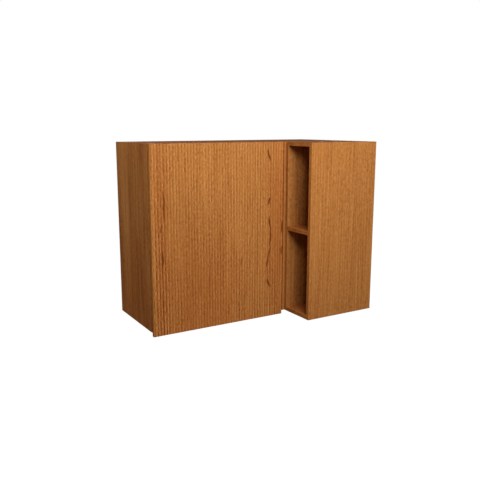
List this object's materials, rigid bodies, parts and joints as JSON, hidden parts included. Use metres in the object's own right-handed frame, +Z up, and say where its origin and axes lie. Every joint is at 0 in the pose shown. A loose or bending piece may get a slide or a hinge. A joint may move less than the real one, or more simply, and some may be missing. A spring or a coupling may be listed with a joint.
{
  "type": "hanging wall cabinet",
  "caption": "L-shaped hanging corner wall cabinet in wood decor: lipped hinged door, blind front panel and an open shelved niche projecting at the right, hung on a wall rail.",
  "frame": {"origin": "on the wall plane, at the middle of the line through the two screw holes of the wall rail", "axes": "+X to the right seen from the room, +Y into the wall, +Z up"},
  "size_m": [0.942, 0.523, 0.734],
  "materials": {
    "wood_decor": "satin honey-brown wood decor with vertical grain",
    "back_board": "thin hardboard with printed wood decor",
    "dowel_wood": "raw beech",
    "cast_zinc": "cast",
    "fastener_steel": "bright zinc plate",
    "nickel_steel": "nickel plate",
    "galvanised_steel": "galvanised",
    "hanger_plastic": "moulded",
    "cap_plastic": "moulded, brown",
    "bumper_rubber": "soft, milky"
  },
  "bodies": {
    "cabinet": {"left_side_panel": "wood_decor", "right_side_panel": "wood_decor", "top_panel": "wood_decor", "bottom_panel": "wood_decor", "front_stile": "wood_decor", "blind_front_panel": "wood_decor", "adjustable_shelf": "wood_decor", "niche_front_panel": "wood_decor", "niche_rear_panel": "wood_decor", "niche_top": "wood_decor", "niche_bottom": "wood_decor", "niche_shelf": "wood_decor", "back_panel": "back_board", "niche_back_panel": "back_board", "shelf_supports": "nickel_steel", "cabinet_dowels": "dowel_wood", "cabinet_cams": "cast_zinc", "cabinet_cam_bolts": "fastener_steel", "cabinet_cam_caps": "cap_plastic", "stile_screws": "fastener_steel", "joining_screws": "fastener_steel", "wall_rail": "galvanised_steel", "left_hanger_body": "hanger_plastic", "right_hanger_body": "hanger_plastic", "left_hanger_hook": "galvanised_steel", "right_hanger_hook": "galvanised_steel", "hanger_adjusters": "fastener_steel", "niche_dowels": "dowel_wood", "niche_cams": "cast_zinc", "niche_cam_bolts": "fastener_steel", "niche_cam_caps": "cap_plastic", "hinge_plate_screws": "fastener_steel", "hinge_arm_screws": "fastener_steel", "hinge_plates": "nickel_steel", "hinge_arms": "nickel_steel"},
    "door": {"door_panel": "wood_decor", "door_bumpers": "bumper_rubber", "hinge_cup_screws": "fastener_steel", "hinge_cups": "nickel_steel", "hinge_pins": "fastener_steel"}
  },
  "joints": [
    {"name": "door_hinge", "type": "hinge", "parent": "cabinet", "child": "door", "pos_m": [-0.4624, -0.3462, -0.3], "axis": [0, 0, -1], "range_deg": [0, 95]}
  ]
}
